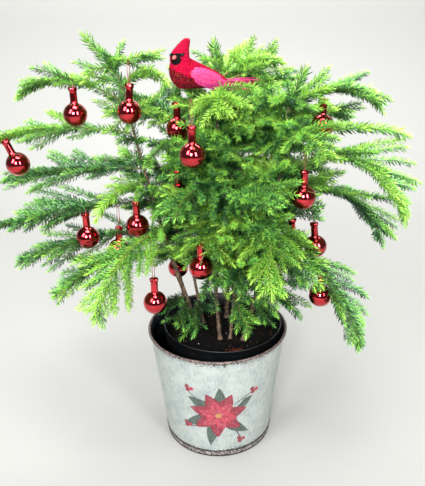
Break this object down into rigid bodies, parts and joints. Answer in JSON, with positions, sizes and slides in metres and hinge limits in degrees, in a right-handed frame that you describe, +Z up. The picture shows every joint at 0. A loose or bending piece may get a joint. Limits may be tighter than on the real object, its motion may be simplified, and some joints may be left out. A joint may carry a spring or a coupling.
{
  "type": "potted norfolk island pine with ornaments",
  "caption": "Young Norfolk Island pine of several slender stems with flat needled fronds, potted in a tapered zinc pot.",
  "frame": {"origin": "centre of the zinc pot's flat underside", "axes": "+Z up along the pot's axis, -Y towards the front of the plant, +X to the right seen from the front"},
  "size_m": [0.4724, 0.3251, 0.492],
  "materials": {
    "zinc": "galvanised, mottled, worn dark at rim and foot",
    "black_plastic": "moulded nursery pot",
    "soil": "peat and bark mix with white grit",
    "bark": "grey-brown, scaly",
    "needles": "soft awl-shaped needles, lime at the tips"
  },
  "bodies": {
    "root": {"zinc_pot": "zinc", "nursery_pot": "black_plastic", "soil": "soil", "stem_left": "bark", "stem_left_thin": "bark", "stem_centre": "bark", "stem_front": "bark", "stem_right": "bark", "stem_back": "bark", "bough_left_upper": "bark", "bough_left_long": "bark", "bough_left_rear": "bark", "bough_left_middle": "bark", "bough_left_low": "bark", "bough_left_lowest": "bark", "bough_left_front": "bark", "bough_right_upper": "bark", "bough_right_bright": "bark", "bough_right_rear": "bark", "bough_right_lowest": "bark", "spray_left_upper": "needles", "spray_left_long": "needles", "spray_left_rear": "needles", "spray_left_middle": "needles", "spray_left_low": "needles", "spray_left_lowest": "needles", "spray_left_front": "needles", "spray_right_upper": "needles", "spray_right_bright": "needles", "spray_right_rear": "needles", "spray_right_lowest": "needles", "spray_right_long": "needles", "spray_left_arc": "needles", "spray_right_front": "needles", "spray_front_top": "needles", "spray_front_lime": "needles", "spray_front_tuft": "needles", "spray_front_middle": "needles", "spray_low_front": "needles", "spray_low_left": "needles", "spray_low_right": "needles", "spray_top_left": "needles", "spray_top_right": "needles", "spray_centre_left": "needles", "spray_centre_right": "needles", "spray_middle_left": "needles", "spray_back_upper_left": "needles", "spray_back_upper_right": "needles", "spray_back_left": "needles", "spray_back_middle": "needles", "spray_back_right": "needles", "spray_back_low_left": "needles", "spray_back_low_right": "needles", "spray_right_side": "needles", "crown_left": "needles", "crown_left_thin": "needles", "crown_centre": "needles", "crown_front": "needles", "crown_right": "needles", "crown_back": "needles"}
  },
  "joints": []
}
